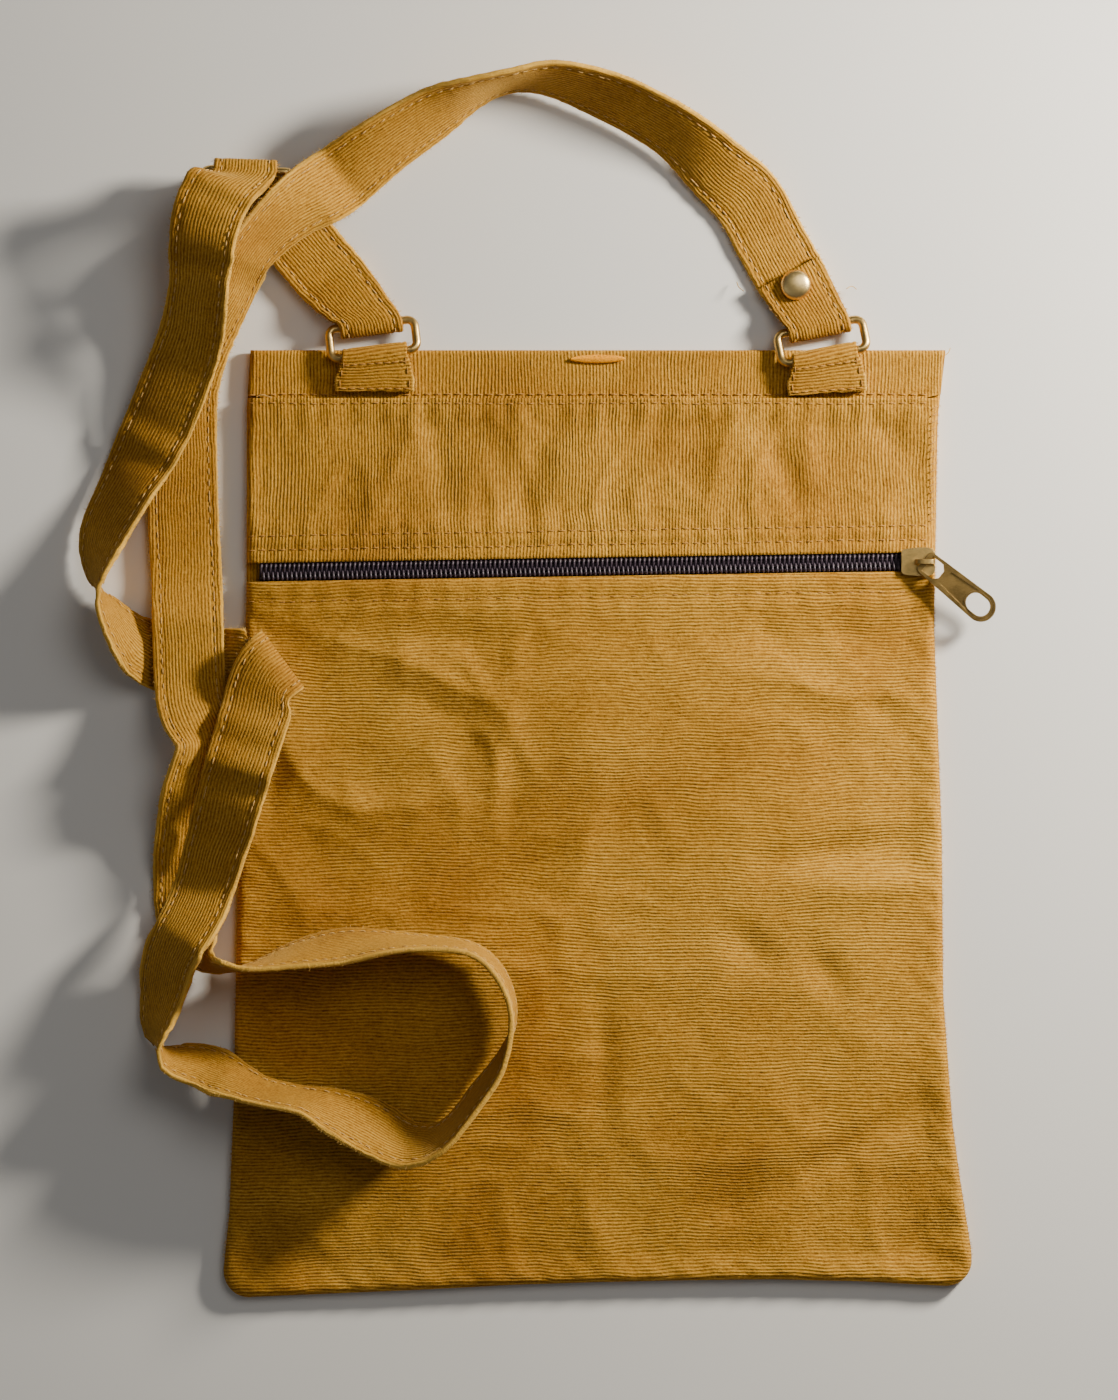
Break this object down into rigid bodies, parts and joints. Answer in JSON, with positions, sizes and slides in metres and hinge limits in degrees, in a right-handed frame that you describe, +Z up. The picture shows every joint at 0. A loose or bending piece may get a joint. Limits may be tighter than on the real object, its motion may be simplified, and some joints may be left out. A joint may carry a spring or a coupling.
{
  "type": "flat shoulder bag",
  "caption": "Flat zipped shoulder bag in ribbed velvet lying on its front, with a long tangled strap held by metal rings on sewn tabs.",
  "frame": {"origin": "middle of the underside on which the bag lies, on the floor", "axes": "+Z up out of the floor and through the bag's thickness, +Y from the bottom seam to the top edge with the strap, +X across the bag towards the zip's pull"},
  "size_m": [0.2757, 0.3706, 0.032],
  "materials": {
    "velvet": "ochre ribbed velvet",
    "tape": "dark woven tape",
    "coil": "dark nylon coil",
    "brass": "satin, slightly aged",
    "thread": "embroidery thread"
  },
  "bodies": {
    "bag": {"back_band": "velvet", "back_panel": "velvet", "edge_motif": "thread", "front_panel": "velvet", "ring_left": "brass", "ring_right": "brass", "ring_strap": "brass", "rivet_cap": "brass", "strap_main": "velvet", "strap_stub": "velvet", "tab_left": "velvet", "tab_right": "velvet", "zip_coil": "coil", "zip_slider": "brass", "zip_tape": "tape"},
    "puller": {"zip_puller": "brass"}
  },
  "joints": [
    {"name": "puller_hinge", "type": "hinge", "parent": "bag", "child": "puller", "pos_m": [0.09979, 0.07744, 0.0087], "axis": [-0.6293, -0.7771, 0], "range_deg": [0, 110]}
  ]
}
